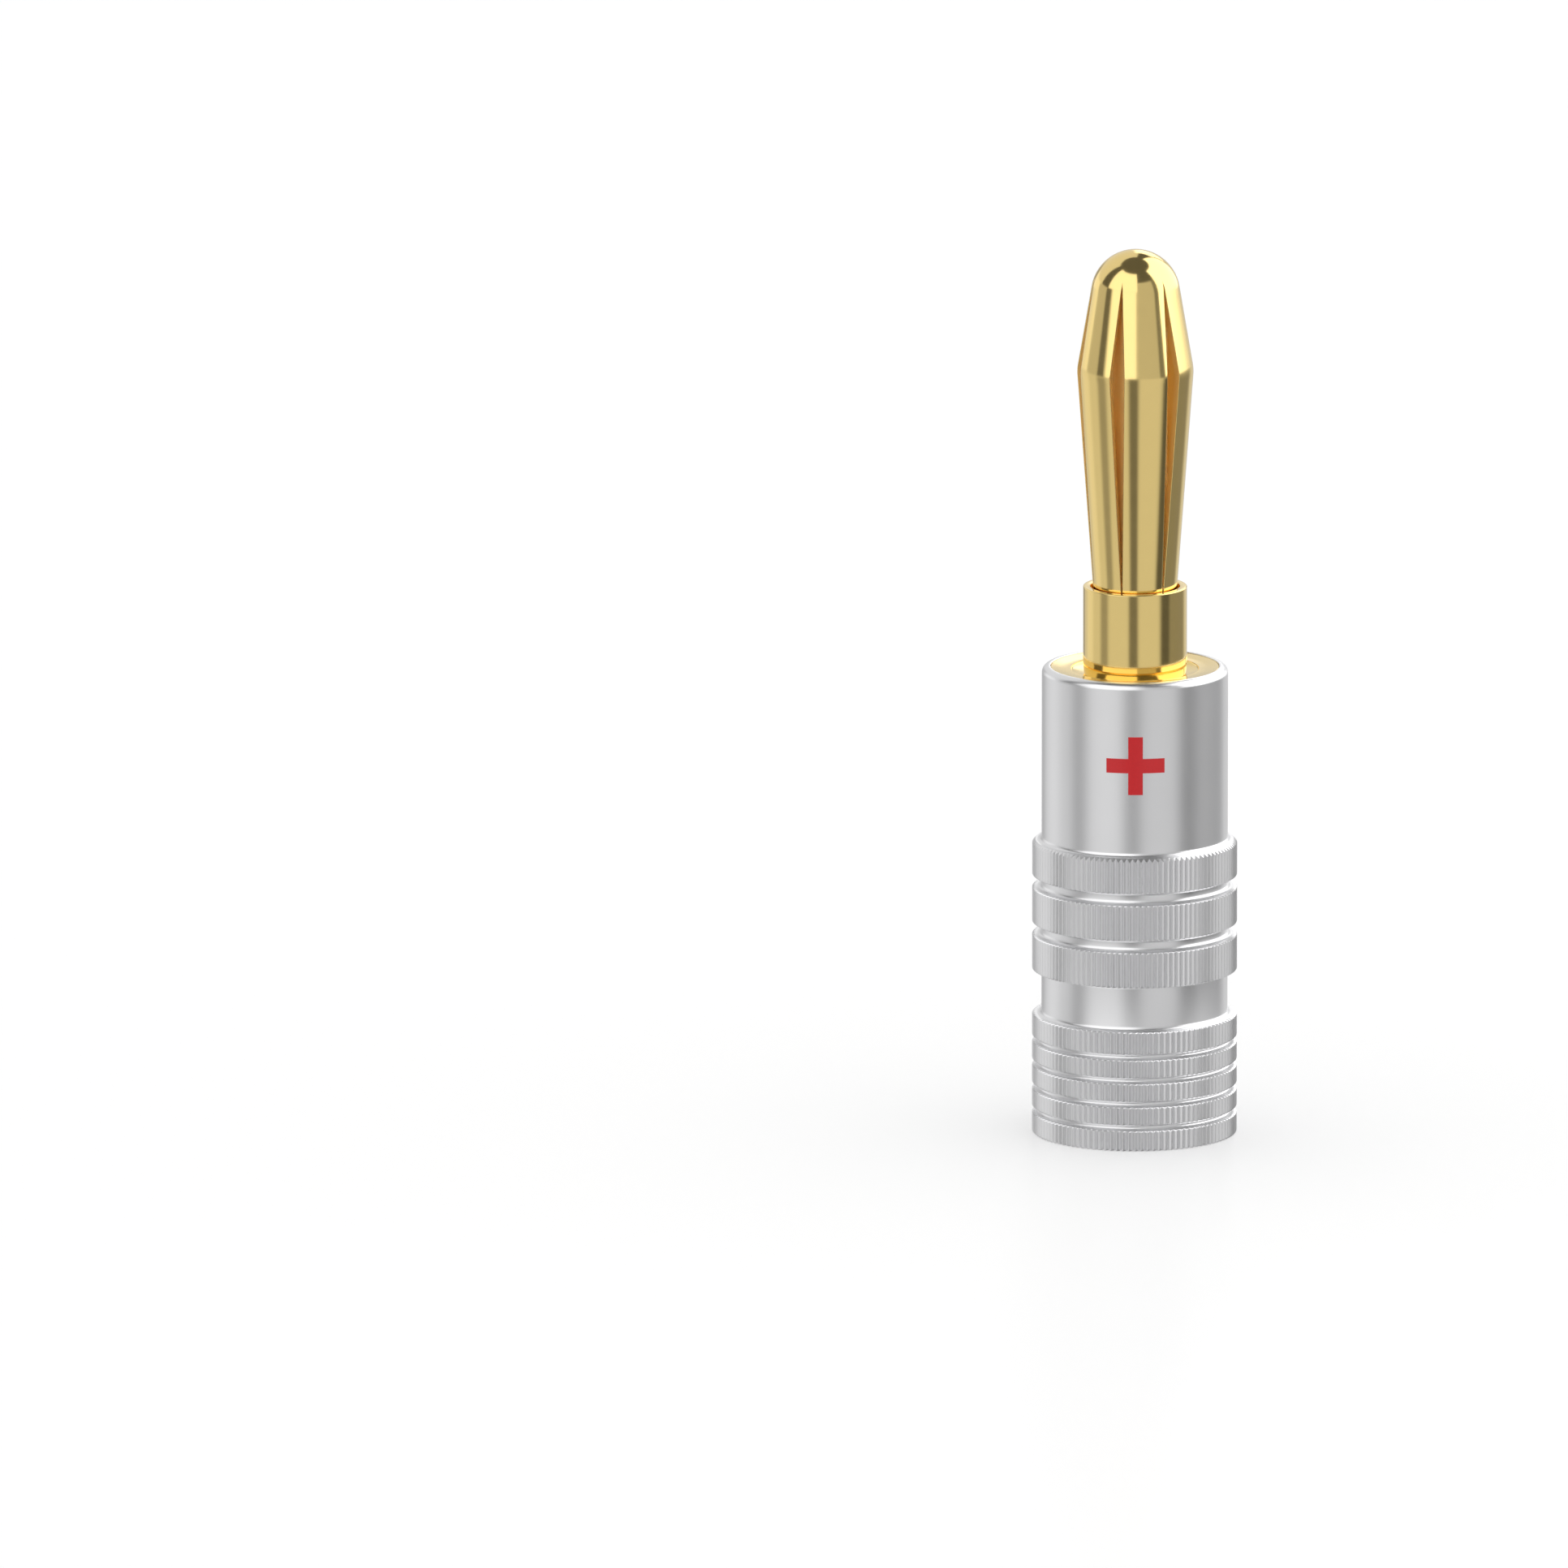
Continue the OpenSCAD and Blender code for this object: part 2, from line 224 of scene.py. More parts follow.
class Finishes(PropertyGroup):
    """Colours of the finishes"""

    aluminium: colour("Aluminium", "Satin aluminium", "#F4F4F5")
    gold: colour("Gold", "Polished gold plate", "#FFE295")
    raw_gold: colour("Unpolished gold", "Gold plate inside the lantern", "#FBE3A0")
    ink: colour("Ink", "Red printing ink", "#CC1A20")
    floor: colour("Floor", "White floor", "#EBEBEB")


class PlugSettings(PropertyGroup):
    """Everything about the plug that a user may change"""

    grip: PointerProperty(type=GripSizes)
    shell: PointerProperty(type=ShellSizes)
    cap: PointerProperty(type=CapSizes)
    sleeve: PointerProperty(type=SleeveSizes)
    core: PointerProperty(type=CoreSizes)
    lantern: PointerProperty(type=LanternSizes)
    mark: PointerProperty(type=MarkSizes)
    finishes: PointerProperty(type=Finishes)


# Shapes

# points around the shell and the cap, the core and the collar, the sleeve, and the pin
GRIP_ROUND = 256
COLLAR_ROUND = 192
SLEEVE_ROUND = 160
PIN_ROUND = 128
# a broken edge takes at most this share of the straight on either side of it
EDGE_SHARE = 0.4
# a bend up to this angle counts as straight and keeps its point
STRAIGHT = math.radians(20)


def arc(r, z, radius, start, end, steps=8):
    """Points of an arc about (r, z) in the half section, angles in degrees."""
    turns = [math.radians(start + (end - start) * k / steps) for k in range(steps + 1)]
    return [(r + radius * math.cos(a), z + radius * math.sin(a)) for a in turns]


def eased(points, radius):
    """A half section with its corners rounded, as a turned edge is when it is broken."""
    out = [points[0]]
    for before, here, after in zip(points, points[1:], points[2:]):
        back = Vector(before) - Vector(here)
        ahead = Vector(after) - Vector(here)
        if back.angle(-ahead) < STRAIGHT:
            out.append(here)
            continue
        reach = min(radius, EDGE_SHARE * back.length, EDGE_SHARE * ahead.length)
        first = Vector(here) + back.normalized() * reach
        last = Vector(here) + ahead.normalized() * reach
        for t in (0, 1 / 3, 2 / 3, 1):
            p = first * (1 - t) ** 2 + Vector(here) * 2 * t * (1 - t) + last * t**2
            out.append((p.x, p.y))
    return out + [points[-1]]


# where a tooth's crest ends and its flank begins, as shares of the tooth pitch
CREST = 0.03
SHOULDER = 0.08
# distance of the rings that keep the flanks evenly shaded up to the ends of a band
EVEN = 0.02 * MM
# a broken edge leaves a trace of its width in the valleys, so that no face there shrinks to nothing
CUT_LIMIT = 0.98
# a thread is a triangle, this much taller than the thread and sunk by so much, in shares of its height,
# so that its crest and its root come out flat
THREAD_TALL = 1.3
THREAD_SUNK = 0.15
# turns in which a thread runs out at either end, and the plain length left before it
RUN_OUT = 0.5
THREAD_LEAD = 0.05 * MM


def tooth_angles(teeth):
    """Angles that follow the crest and the valley of every tooth."""
    offsets = (-0.5, -SHOULDER, -CREST, CREST, SHOULDER)
    return [FULL_TURN * (k + t) / teeth for k in range(teeth) for t in offsets]


def tooth(grip, teeth, limit):
    """Radius of the knurl as a function of the angle, turned down to a limit."""
    tip = grip.grip_d / 2

    def radius(angle):
        t = abs((angle * teeth / FULL_TURN + 0.5) % 1 - 0.5)
        corner = grip.tooth_round * min(1, max(0, (t - CREST) / (SHOULDER - CREST)))
        flank = (grip.tooth_depth - grip.tooth_round) * max(0, (t - SHOULDER) / (0.5 - SHOULDER))
        return min(limit, tip - corner - flank)

    return radius


def thread_rows(base, height, low, high, pitch, lead, rows_per_turn):
    """Rows of a right-hand thread on a bore or a shank, which runs out at both ends."""
    count = round(abs(high - low) / pitch * rows_per_turn)
    rows = []
    for k in range(count + 1):
        z = low + (high - low) * k / count
        to_end = min(z - min(low, high), max(low, high) - z)
        fade = min(1, to_end / (RUN_OUT * pitch))

        def radius(angle, z=z, fade=fade):
            phase = (z / pitch - angle / FULL_TURN + lead) % 1
            ridge = min(1, max(0, THREAD_TALL * (1 - abs(2 * phase - 1)) - THREAD_SUNK))
            return base + height * ridge * fade

        rows.append((radius, z))
    return rows


def turned(stations, count, closed):
    """Vertices and faces of a turned piece. A station is a radius and a height, either of them also by
    angle. It has evenly spaced points unless it brings angles of its own."""
    even = [FULL_TURN * k / count for k in range(count)]
    points, rings = [], []
    for r, z, *own in stations:
        angles = own[0] if own else even if r else [0.0]
        rings.append((len(points), angles))
        for a in angles:
            reach, height = (v(a) if callable(v) else v for v in (r, z))
            points.append((reach * math.cos(a), reach * math.sin(a), height))
    faces = []
    for a, b in zip(rings, rings[1:] + rings[:1] if closed else rings[1:]):
        faces += stitched(*a, *b)
    return points, faces


def stitched(low, low_angles, high, high_angles):
    """Faces between two rings, given by their first points and their angles."""
    n, m = len(low_angles), len(high_angles)
    if low_angles == high_angles:
        return [(low + i, low + (i + 1) % n, high + (i + 1) % n, high + i) for i in range(n)]
    if n == 1:
        return [(low, high + (j + 1) % m, high + j) for j in range(m)]
    if m == 1:
        return [(low + i, low + (i + 1) % n, high) for i in range(n)]
    faces, i, j = [], 0, 0
    while i < n or j < m:
        ahead_low = low_angles[i + 1] if i + 1 < n else low_angles[0] + FULL_TURN
        ahead_high = high_angles[j + 1] if j + 1 < m else high_angles[0] + FULL_TURN
        if i < n and (j == m or ahead_low <= ahead_high):
            faces.append((low + i, low + (i + 1) % n, high + j % m))
            i += 1
        else:
            faces.append((low + i % n, high + (j + 1) % m, high + j))
            j += 1
    return faces


def add_piece(name, shape, material, body, node=None, sharp=40):
    """A smooth-shaded object that rides on a body and, where a node is named, stands for that solid."""
    mesh = bpy.data.meshes.new(name)
    mesh.from_pydata(shape[0], [], shape[1])
    mesh.polygons.foreach_set("use_smooth", [True] * len(mesh.polygons))
    mesh.set_sharp_from_angle(angle=math.radians(sharp))
    mesh.materials.append(material)
    piece = bpy.data.objects.new(name, mesh)
    bpy.context.scene.collection.objects.link(piece)
    normals = piece.modifiers.new("Weighted normals", "WEIGHTED_NORMAL")
    normals.keep_sharp = True
    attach(piece, body)
    if node:
        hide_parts(node)
    return piece


def knurled_band(grip, teeth, low, high, bevel):
    """Stations of one knurled band on the way up, with broken edges."""
    tip, angles = grip.grip_d / 2, tooth_angles(teeth)
    flank = tooth(grip, teeth, tip)

    def cut(angle, width):
        """How far the cone of a broken edge runs up the tooth at this angle."""
        return width - min(CUT_LIMIT * width, tip - flank(angle))

    return [
        (tooth(grip, teeth, tip - grip.edge), low, angles),
        (flank, lambda angle: low + cut(angle, grip.edge), angles),
        (flank, low + grip.edge + EVEN, angles),
        (flank, high - bevel - EVEN, angles),
        (flank, lambda angle: high - cut(angle, bevel), angles),
        (tooth(grip, teeth, tip - bevel), high, angles),
    ]


def groove(floor_r, low, high, fillet):
    """A groove between two bands, with a fillet at each side of its floor."""
    rear = arc(floor_r + fillet, low + fillet, fillet, 270, 180)
    return rear + arc(floor_r + fillet, high - fillet, fillet, 180, 90)


# Finishes


def add_node(tree, kind, inputs=None, **settings):
    """Adds a node, sets it up, and links or fills its inputs."""
    node = tree.nodes.new(kind)
    for name, value in settings.items():
        setattr(node, name, value)
    for name, value in (inputs or {}).items():
        if isinstance(value, bpy.types.NodeSocket):
            tree.links.new(value, node.inputs[name])
        else:
            node.inputs[name].default_value = value
    return node


# a colour mix has sockets for other kinds of value too: these are its factor, its two colours and its result
MIX_SHARE = 0
MIX_FIRST = 6
MIX_SECOND = 7
COLOUR_OUT = 2


def colour_mix(pattern, base, darkest):
    """Inputs of a colour mix in which a pattern darkens a colour in places, down to a share of itself."""
    darker = tuple(darkest * c for c in base)
    return {MIX_SHARE: pattern, MIX_FIRST: (*darker, 1), MIX_SECOND: (*base, 1)}


def new_material(name):
    """An empty node material and its tree."""
    material = bpy.data.materials.new(name)
    material.use_nodes = True
    material.node_tree.nodes.clear()
    return material, material.node_tree


def bare_metal(tree, base, dull, bump):
    """Ends a metal's tree with its surface, from a colour, a roughness node and a bump node."""
    looks = {
        "Base Color": base,
        "Metallic": 1.0,
        "Roughness": dull.outputs["Result"],
        "Normal": bump.outputs["Normal"],
    }
    metal = add_node(tree, "ShaderNodeBsdfPrincipled", looks)
    add_node(tree, "ShaderNodeOutputMaterial", {"Surface": metal.outputs["BSDF"]})


def satin_aluminium(finishes):
    """Turned aluminium, bead-blasted fine and clear anodised."""
    name = "Satin anodised aluminium"
    if name in bpy.data.materials:
        return bpy.data.materials[name]
    # The blast breaks the mirror into a soft satin sheen, and the anodising keeps it an even pale grey.
    material, tree = new_material(name)
    place = add_node(tree, "ShaderNodeTexCoord").outputs["Object"]
    # blast grit is about 0.05 mm; it is drawn at 0.12 mm so that it shows
    grit = add_node(tree, "ShaderNodeTexNoise", {"Vector": place, "Scale": 1 / (0.12 * MM), "Detail": 3.0})
    # the anodising's tone drifts over about 2.5 mm
    cloud = add_node(tree, "ShaderNodeTexNoise", {"Vector": place, "Scale": 1 / (2.5 * MM), "Detail": 2.0})
    dull = add_node(
        tree, "ShaderNodeMapRange", {"Value": grit.outputs["Fac"], "To Min": 0.27, "To Max": 0.33}
    )
    tint = add_node(
        tree,
        "ShaderNodeMix",
        colour_mix(cloud.outputs["Fac"], finishes.aluminium, 0.94),
        data_type="RGBA",
    )
    bump = add_node(
        tree, "ShaderNodeBump", {"Height": grit.outputs["Fac"], "Strength": 0.05, "Distance": 0.004 * MM}
    )
    bare_metal(tree, tint.outputs[COLOUR_OUT], dull, bump)
    return material


def polished_gold(finishes):
    """Turned brass, polished and gold plated."""
    name = "Polished gold plate"
    if name in bpy.data.materials:
        return bpy.data.materials[name]
    # The plate mirrors the room with a warm tint; polishing leaves it a little uneven and faintly hazed.
    material, tree = new_material(name)
    place = add_node(tree, "ShaderNodeTexCoord").outputs["Object"]
    # the polish is uneven over about 0.6 mm
    haze = add_node(tree, "ShaderNodeTexNoise", {"Vector": place, "Scale": 1 / (0.6 * MM), "Detail": 3.0})
    dull = add_node(
        tree, "ShaderNodeMapRange", {"Value": haze.outputs["Fac"], "To Min": 0.09, "To Max": 0.15}
    )
    # polishing marks are about 0.02 mm; they are drawn at 0.15 mm so that they show
    marks = add_node(tree, "ShaderNodeTexNoise", {"Vector": place, "Scale": 1 / (0.15 * MM), "Detail": 2.0})
    bump = add_node(
        tree, "ShaderNodeBump", {"Height": marks.outputs["Fac"], "Strength": 0.05, "Distance": 0.002 * MM}
    )
    tint = add_node(
        tree, "ShaderNodeMix", colour_mix(haze.outputs["Fac"], finishes.gold, 0.96), data_type="RGBA"
    )
    bare_metal(tree, tint.outputs[COLOUR_OUT], dull, bump)
    return material


def raw_gold(finishes):
    """Brass with the marks of the saw and the drill, gold plated but never polished."""
    name = "Unpolished gold plate"
    if name in bpy.data.materials:
        return bpy.data.materials[name]
    # The rough plate scatters light inside the lantern, so the slits glow a deep orange instead of
    # mirroring black.
    material, tree = new_material(name)
    place = add_node(tree, "ShaderNodeTexCoord").outputs["Object"]
    # tool marks are about 0.05 mm apart
    marks = add_node(tree, "ShaderNodeTexNoise", {"Vector": place, "Scale": 1 / (0.05 * MM), "Detail": 2.0})
    dull = add_node(
        tree, "ShaderNodeMapRange", {"Value": marks.outputs["Fac"], "To Min": 0.55, "To Max": 0.75}
    )
    bump = add_node(
        tree, "ShaderNodeBump", {"Height": marks.outputs["Fac"], "Strength": 0.2, "Distance": 0.01 * MM}
    )
    bare_metal(tree, (*finishes.raw_gold, 1), dull, bump)
    return material


def red_print(finishes):
    """Red ink, pad printed on the metal and cured."""
    name = "Pad printed red ink"
    if name in bpy.data.materials:
        return bpy.data.materials[name]
    # The cured film is smooth and a little glossy, and thin enough that its colour varies slightly.
    material, tree = new_material(name)
    place = add_node(tree, "ShaderNodeTexCoord").outputs["Object"]
    # the film's mottling is about 0.1 mm across
    mottle = add_node(tree, "ShaderNodeTexNoise", {"Vector": place, "Scale": 1 / (0.1 * MM), "Detail": 2.0})
    tint = add_node(
        tree, "ShaderNodeMix", colour_mix(mottle.outputs["Fac"], finishes.ink, 0.86), data_type="RGBA"
    )
    film = add_node(
        tree, "ShaderNodeBsdfPrincipled", {"Base Color": tint.outputs[COLOUR_OUT], "Roughness": 0.3}
    )
    add_node(tree, "ShaderNodeOutputMaterial", {"Surface": film.outputs["BSDF"]})
    return material


# share of the floor's sheen, and the level that makes the open floor white in spite of it
FLOOR_SHEEN = 0.08
FLOOR_WHITE = 1.03


def white_floor(finishes):
    """Matt white acrylic sheet."""
    # It stays white to the eye and keeps the shadow, with a trace of the plug mirrored in it.
    material, tree = new_material("Matt white acrylic")
    matt = add_node(tree, "ShaderNodeBsdfDiffuse", {"Color": (*finishes.floor, 1)})
    seen = add_node(tree, "ShaderNodeLightPath").outputs["Is Camera Ray"]
    # makes up for what the sheet swallows and for the grey that its sheen mirrors
    missing = FLOOR_WHITE - finishes.floor[0]
    lift = add_node(tree, "ShaderNodeMath", {0: seen, 1: missing}, operation="MULTIPLY")
    fill = add_node(tree, "ShaderNodeEmission", {"Strength": lift.outputs[0]})
    lit = add_node(tree, "ShaderNodeAddShader", {0: matt.outputs[0], 1: fill.outputs[0]})
    gloss = add_node(tree, "ShaderNodeBsdfGlossy", {"Roughness": 0.28})
    both = add_node(tree, "ShaderNodeMixShader", {0: FLOOR_SHEEN, 1: lit.outputs[0], 2: gloss.outputs[0]})
    add_node(tree, "ShaderNodeOutputMaterial", {"Surface": both.outputs[0]})
    return material


# brightness of the studio where no panel stands, as the metal mirrors it
STUDIO_GREY = 0.66
# Soft boxes, walls and flags of the studio, as the metal mirrors them: the bearing of the middle, from
# the front (0) to the right (90), the half width, the lowest and the highest elevation and the width of
# the soft edge in degrees, and the brightness. A later one stands before the earlier ones.
PANELS = (
    ("Dark ceiling", 0, 190, 13, 100, 4, 0.11),
    ("Back wall", -146, 39, 9, 60, 4, 0.76),
    ("Rear soft box", 168, 12, 14, 38, 4, 1.8),
    ("Front soft box", -37, 42, 13, 62, 4, 1.25),
    ("Front soft box, lower edge", -31, 32, -4, 14, 4, 1.25),
    ("Right soft box", 107, 46, -4, 63, 4, 1.85),
    ("Right wall", 28, 23, -4, 39, 4, 0.55),
    ("Right flag", 56, 6, -4, 39, 4, 0.2),
    ("Left wall", -98, 16, -4, 12, 4, 0.54),
    ("Left flag", -75, 8, -4, 14, 4, 0.15),
    ("Left lamp", -131, 17, -4, 12, 6, 1.0),
    ("Rear flag", -156, 7, -100, 10, 8, 0.36),
    ("Table glow, left", -120, 12, -100, -4, 12, 0.8),
    ("Table shade, left", -73, 10, -100, -4, 12, 0.33),
    ("Tripod", -4, 10, -100, -4, 10, 0.18),
    ("Table shade, right", 98, 40, -100, -4, 18, 0.26),
    ("Table edge, right", 71, 11, -100, -4, 10, 0.11),
)


def studio_world():
    """White to the eye and on matt surfaces; metal mirrors its soft boxes, flags and dark ceiling."""
    world = bpy.data.worlds.new("Soft white studio")
    world.use_nodes = True
    tree = world.node_tree
    tree.nodes.clear()
    ray = add_node(tree, "ShaderNodeTexCoord").outputs["Generated"]
    flat = add_node(tree, "ShaderNodeVectorMath", {0: ray, 1: (1, 1, 0)}, operation="MULTIPLY")
    flat = add_node(tree, "ShaderNodeVectorMath", {0: flat.outputs[0]}, operation="NORMALIZE")
    height = add_node(tree, "ShaderNodeSeparateXYZ", {0: ray}).outputs["Z"]
    elevation = add_node(tree, "ShaderNodeMath", {0: height}, operation="ARCSINE")
    level = STUDIO_GREY
    for name, *degrees, brightness in PANELS:
        bearing, half, low, high, edge = (math.radians(d) for d in degrees)
        middle = (math.sin(bearing), -math.cos(bearing), 0)
        facing = add_node(
            tree, "ShaderNodeVectorMath", {0: flat.outputs[0], 1: middle}, operation="DOT_PRODUCT"
        )
        away = add_node(tree, "ShaderNodeMath", {0: facing.outputs["Value"]}, operation="ARCCOSINE")
        inside = 1.0
        for measure, outer, inner in (
            (away, half + edge / 2, half - edge / 2),
            (elevation, low - edge / 2, low + edge / 2),
            (elevation, high + edge / 2, high - edge / 2),
        ):
            share = add_node(
                tree,
                "ShaderNodeMapRange",
                {"Value": measure.outputs[0], "From Min": outer, "From Max": inner},
                interpolation_type="SMOOTHSTEP",
            )
            product = add_node(
                tree, "ShaderNodeMath", {0: inside, 1: share.outputs[0]}, operation="MULTIPLY"
            )
            inside = product.outputs[0]
        level = add_node(tree, "ShaderNodeMix", {0: inside, 2: level, 3: brightness}, label=name).outputs[0]
    mirrored = add_node(tree, "ShaderNodeBackground", {"Color": (1, 1, 1, 1), "Strength": level})
    plain = add_node(tree, "ShaderNodeBackground", {"Color": (1, 1, 1, 1), "Strength": 1.0})
    glossy = add_node(tree, "ShaderNodeLightPath").outputs["Is Glossy Ray"]
    both = add_node(tree, "ShaderNodeMixShader", {0: glossy, 1: plain.outputs[0], 2: mirrored.outputs[0]})
    add_node(tree, "ShaderNodeOutputWorld", {"Surface": both.outputs[0]})
    return world


# Pieces


class PLUG_OT_front_shell(Operator):
    """Turned shell with knurled bands, a rolled front rim and a thread inside"""

    bl_idname = "plug.front_shell"
    bl_label = "Front shell"

    def execute(self, context):
        plug = context.scene.plug
        grip, shell, sleeve = plug.grip, plug.shell, plug.sleeve
        low, rim_z = lowest("front_shell"), highest("front_shell")
        barrel_r, fillet = grip.barrel_d / 2, grip.foot_fillet
        step = shell.band_h + shell.groove_w
        stations = [(shell.bore_r + shell.entry, low)]
        for k in range(shell.bands):
            z = low + k * step
            last = k == shell.bands - 1
            bevel = shell.bevel if last else grip.edge
            stations += knurled_band(grip, shell.teeth, z, z + shell.band_h, bevel)
            if not last:
                stations += groove(barrel_r, z + shell.band_h, z + step, fillet)
        top = low + shell.bands * step - shell.groove_w
        stations += arc(barrel_r + fillet, top + fillet, fillet, 270, 180)
        stations += arc(barrel_r - shell.rim_round, rim_z - shell.rim_round, shell.rim_round, 0, 90)
        lip_z = rim_z - shell.rim_t
        shoulder_z = lip_z - shell.seat_h
        inside = [
            (shell.rim_r + shell.broken, rim_z),
            (shell.rim_r, rim_z),
            (shell.rim_r, lip_z),
            (shell.seat_r, lip_z),
            (shell.seat_r, shoulder_z),
            (shell.bore_r, shoulder_z),
            (shell.bore_r, highest("wire_sleeve")),
        ]
        stations += eased(inside, shell.broken)
        start, end = highest("wire_sleeve") - THREAD_LEAD, low + shell.entry
        # half a turn on, so that its ridges lie between those of the sleeve
        stations += thread_rows(
            shell.bore_r, -shell.ridge, start, end, sleeve.thread_pitch, lead=0.5, rows_per_turn=8
        )
        shape, metal = turned(stations, GRIP_ROUND, True), satin_aluminium(plug.finishes)
        add_piece("front_shell_skin", shape, metal, "shell", "front_shell")
        return {"FINISHED"}


class PLUG_OT_rear_cap(Operator):
    """Turned cap with thin knurled bands, a plain neck and the cable opening"""

    bl_idname = "plug.rear_cap"
    bl_label = "Rear cap"

    def execute(self, context):
        plug = context.scene.plug
        grip, cap, sleeve = plug.grip, plug.cap, plug.sleeve
        low, neck_z = lowest("rear_cap"), highest("rear_cap")
        barrel_r, fillet = grip.barrel_d / 2, grip.foot_fillet
        half = cap.groove_w / 2
        floor_r = grip.grip_d / 2 - cap.groove_depth
        stations = [(cap.bore_r + cap.mouth, low)]
        for k in range(cap.bands):
            first, last = k == 0, k == cap.bands - 1
            rear = low if first else low + cap.groove_z + (k - 1) * cap.pitch + half
            front = low + cap.grip_len if last else low + cap.groove_z + k * cap.pitch - half
            stations += knurled_band(grip, cap.teeth, rear, front, grip.edge)
            if not last:
                stations += groove(floor_r, front, front + cap.groove_w, cap.groove_fillet)
        stations += arc(barrel_r + fillet, low + cap.grip_len + fillet, fillet, 270, 180)
        inside = [
            (barrel_r, neck_z - cap.broken / EDGE_SHARE),
            (barrel_r, neck_z),
            (sleeve.outer_r, neck_z),
            (sleeve.outer_r, cap.bore_depth),
            (cap.bore_r, cap.bore_depth),
            (cap.bore_r, low + cap.mouth),
            (cap.bore_r + cap.mouth, low),
        ]
        # the last point is the first station again
        stations += eased(inside, cap.broken)[:-1]
        shape, metal = turned(stations, GRIP_ROUND, True), satin_aluminium(plug.finishes)
        add_piece("rear_cap_skin", shape, metal, "rear_unit", "rear_cap")
        return {"FINISHED"}


class PLUG_OT_wire_sleeve(Operator):
    """Gold-plated sleeve with a bevelled rear end and an outside thread"""

    bl_idname = "plug.wire_sleeve"
    bl_label = "Wire sleeve"

    def execute(self, context):
        plug = context.scene.plug
        sleeve = plug.sleeve
        low, high = lowest("wire_sleeve"), highest("wire_sleeve")
        rear = [
            (sleeve.wire_r, low + 2 * sleeve.mouth),
            (sleeve.wire_r, low + sleeve.mouth),
            (sleeve.wire_r + sleeve.mouth, low),
            (sleeve.outer_r, low),
            (sleeve.outer_r, highest("rear_cap")),
        ]
        root_r = sleeve.outer_r - sleeve.thread_depth
        front = [
            (root_r, high - sleeve.broken),
            (root_r - sleeve.edge / 4, high),
            (sleeve.wire_r + sleeve.edge, high),
            (sleeve.wire_r, high - sleeve.edge),
            (sleeve.wire_r, high - 3 * sleeve.edge),
        ]
        stations = eased(rear, sleeve.broken)
        start, end = highest("rear_cap") + THREAD_LEAD, high - sleeve.broken - THREAD_LEAD
        stations += thread_rows(
            root_r, sleeve.thread_depth, start, end, sleeve.thread_pitch, lead=0.0, rows_per_turn=14
        )
        stations += eased(front, sleeve.broken)
        shape, gold = turned(stations, SLEEVE_ROUND, True), polished_gold(plug.finishes)
        add_piece("wire_sleeve_skin", shape, gold, "rear_unit", "wire_sleeve")
        return {"FINISHED"}


class PLUG_OT_contact_core(Operator):
    """Gold-plated core whose front ring shows inside the rim of the shell"""

    bl_idname = "plug.contact_core"
    bl_label = "Contact core"

    def execute(self, context):
        plug = context.scene.plug
        core = plug.core
        low, dish_z = lowest("contact_core"), highest("contact_core")
        disc_z = highest("front_shell") - plug.shell.rim_t - core.rim_gap
        face_z = dish_z - core.dish_rise
        recess_z = face_z - core.recess_depth
        stem_z = lowest("pin_collar")
        rear = [
            (0, low + core.hub_bore_depth),
            (core.hub_bore_r, low + core.hub_bore_depth),
            (core.hub_bore_r, low + core.hub_mouth),
            (core.hub_bore_r + core.hub_mouth, low),
            (core.hub_r, low),
            (core.hub_r, disc_z - core.disc_t),
            (core.disc_r, disc_z - core.disc_t),
            (core.disc_r, disc_z),
            (core.dish_r, disc_z),
            (core.dish_r, dish_z),
            (core.recess_r + core.flat_w, face_z),
            (core.recess_r, face_z),
        ]
        # the hollow's side drops steeply from the flat ring and eases out towards the collar
        hollow = arc(core.recess_r - core.recess_round, face_z, core.recess_round, 350, 285)
        stem = [
            (core.collar_r, recess_z),
            (core.stem_r, recess_z),
            (core.stem_r, stem_z),
            (0, stem_z),
        ]
        stations = eased(rear, core.core_broken) + hollow + stem
        shape, gold = turned(stations, COLLAR_ROUND, False), polished_gold(plug.finishes)
        add_piece("contact_core_skin", shape, gold, "pin_unit", "contact_core")
        return {"FINISHED"}


# steps in which the collar narrows to its foot
FOOT_STEPS = 10


class PLUG_OT_pin_collar(Operator):
    """Gold-plated collar with a slightly narrowing foot and the cup that holds the lantern"""

    bl_idname = "plug.pin_collar"
    bl_label = "Pin collar"

    def execute(self, context):
        plug = context.scene.plug
        core, lantern = plug.core, plug.lantern
        low, high = lowest("pin_collar"), highest("pin_collar")
        recess_z = highest("contact_core") - core.dish_rise - core.recess_depth
        cup_z, tail_z = lowest("lantern_spring"), lowest("core_pin")
        stem = [(0, low), (core.stem_r, low), (core.stem_r, recess_z)]
        foot_top = recess_z + core.recess_depth + core.foot_h
        foot = []
        for k in range(FOOT_STEPS + 1):
            share = 1 - k / FOOT_STEPS
            foot_r = core.collar_r - core.foot_in * share**2
            foot.append((foot_r, foot_top - (foot_top - recess_z) * share))
        front = [
            (core.collar_r, high - 2 * core.collar_edge),
            (core.collar_r, high - core.collar_edge),
            (core.collar_r - core.collar_edge, high),
            (core.mouth_r, high),
            (core.mouth_r, high - core.mouth_depth),
            (lantern.base_r, high - core.mouth_depth),
            (lantern.base_r, cup_z),
            (core.tail_r, cup_z),
            (core.tail_r, tail_z),
            (0, tail_z),
        ]
        stations = stem + foot + eased(front, core.collar_broken)
        shape, gold = turned(stations, COLLAR_ROUND, False), polished_gold(plug.finishes)
        add_piece("pin_collar_skin", shape, gold, "pin_unit", "pin_collar")
        return {"FINISHED"}


